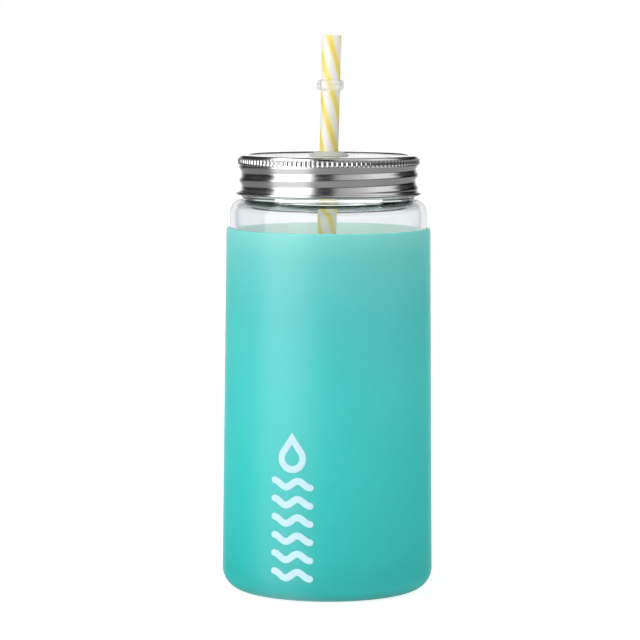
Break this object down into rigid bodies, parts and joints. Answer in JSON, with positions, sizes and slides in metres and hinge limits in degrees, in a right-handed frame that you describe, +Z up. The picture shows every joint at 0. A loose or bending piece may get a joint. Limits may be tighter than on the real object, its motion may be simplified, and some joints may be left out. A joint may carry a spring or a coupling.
{
  "type": "glass water bottle",
  "caption": "Straight glass drinking jar in a silicone sleeve, closed by a knurled steel screw band over a flat lid plate with a striped straw through a silicone grommet.",
  "frame": {"origin": "centre of the sleeve's base, on the surface the bottle stands on", "axes": "+Z up along the bottle; -Y is the printed front; the straw leans towards +X"},
  "size_m": [0.0822, 0.0822, 0.2165],
  "materials": {
    "sleeve_silicone": "matte translucent turquoise silicone",
    "print_ink": "matte pale ink",
    "jar_glass": "clear glass with a slight green tint",
    "band_steel": "bright stainless steel, lightly brushed around the band",
    "disc_steel": "bright stainless steel sheet",
    "gasket_rubber": "white food-grade seal",
    "grommet_silicone": "milky translucent silicone",
    "straw_plastic": "white plastic with yellow helical stripes",
    "ring_plastic": "clear moulded plastic"
  },
  "bodies": {
    "sleeve": {"silicone_sleeve": "sleeve_silicone", "sleeve_print": "print_ink"},
    "jar": {"glass_jar": "jar_glass"},
    "lid": {"lid_disc": "disc_steel", "lid_gasket": "gasket_rubber", "straw_grommet": "grommet_silicone"},
    "band": {"lid_band": "band_steel"},
    "straw": {"straw": "straw_plastic", "straw_stop_ring": "ring_plastic"}
  },
  "joints": [
    {"name": "jar_lift", "type": "slide", "parent": "sleeve", "child": "jar", "axis": [0, 0, 1], "range_m": [0, 0.145]},
    {"name": "lid_lift", "type": "slide", "parent": "jar", "child": "lid", "axis": [0, 0, 1], "range_m": [0, 0.00763]},
    {"name": "lid_turn", "type": "hinge", "parent": "lid", "child": "band", "pos_m": [0, 0, 0.162], "axis": [0, 0, 1], "range_deg": [0, 540]},
    {"name": "straw_slide", "type": "slide", "parent": "lid", "child": "straw", "axis": [0.0218, 0, 0.9998], "range_m": [0, 0.158]}
  ],
  "couplings": [
    {"joint": "lid_lift", "follows": "lid_turn", "m_per_rad": 0.00080851}
  ]
}
